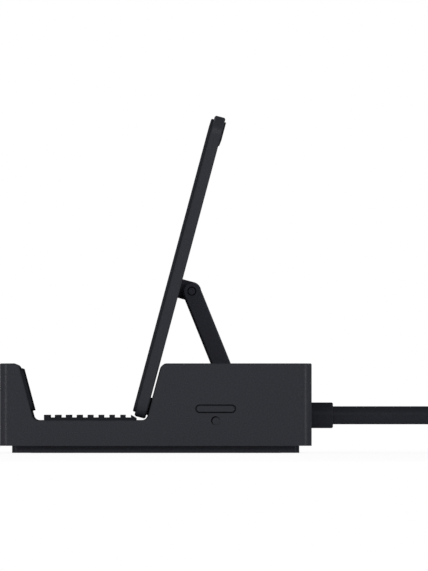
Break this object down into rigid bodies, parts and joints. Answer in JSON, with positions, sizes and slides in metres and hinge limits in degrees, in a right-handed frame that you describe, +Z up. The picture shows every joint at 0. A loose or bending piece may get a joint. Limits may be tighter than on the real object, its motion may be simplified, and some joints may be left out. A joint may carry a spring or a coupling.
{
  "type": "handheld console dock",
  "caption": "Low dock with an open ribbed slot, a leaning back panel on a folding arm, rear sockets, a side button and a captive lead.",
  "frame": {"origin": "on the floor, under the middle of the body's box, without the lead", "axes": "+Z up, -Y the front with the lip, +Y the rear with the sockets and lead, +X the side with the button; X is the width"},
  "size_m": [0.142, 0.1992, 0.0963],
  "materials": {
    "shell": "fine matte",
    "ring": "satin, smoked",
    "rubber": "matte",
    "arm": "matte black",
    "steel": "plated",
    "socket": "matte",
    "board": "solder mask",
    "emitter": "clear",
    "jacket": "satin",
    "tie": "woven"
  },
  "bodies": {
    "base": {"housing": "shell", "base_plate": "shell", "base_screws": "steel", "light_ring": "ring", "foot_pad": "rubber", "light_board": "board", "light_emitters": "emitter", "main_board": "board", "board_screws": "steel", "network_port": "socket", "video_port": "steel", "power_port": "steel", "usb_port_1": "steel", "usb_port_2": "steel", "usb_port_3": "steel", "usb_insulator_1": "socket", "usb_insulator_2": "socket", "usb_insulator_3": "socket", "video_insulator": "socket", "power_insulator": "socket", "button_switch": "socket", "slot_mat": "rubber", "lip_pad": "rubber", "arm_shaft": "steel", "strain_relief": "jacket", "lead_tube": "jacket", "lead_coil": "jacket", "coil_tie": "tie", "plug_grip": "jacket", "plug_shell": "steel"},
    "arm": {"support_arm": "arm", "panel_pin": "steel", "pin_washers": "steel"},
    "panel": {"back_panel": "shell", "panel_pad": "rubber", "lower_strip": "rubber", "upper_strip": "rubber", "hinge_knuckle": "arm", "knuckle_screws": "steel"},
    "button": {"light_button": "shell", "switch_stem": "socket"}
  },
  "joints": [
    {"name": "arm_pivot", "type": "hinge", "parent": "base", "child": "arm", "pos_m": [0, 0.02012, 0.02261], "axis": [1, 0, 0], "range_deg": [-22, 0]},
    {"name": "panel_pivot", "type": "hinge", "parent": "arm", "child": "panel", "pos_m": [0, 0.01048, 0.04647], "axis": [1, 0, 0], "range_deg": [-75, 0]},
    {"name": "button_press", "type": "slide", "parent": "base", "child": "button", "axis": [-1, 0, 0], "range_m": [0, 0.0005], "stiffness_N_per_m": 300, "springref_m": -0.0005}
  ]
}
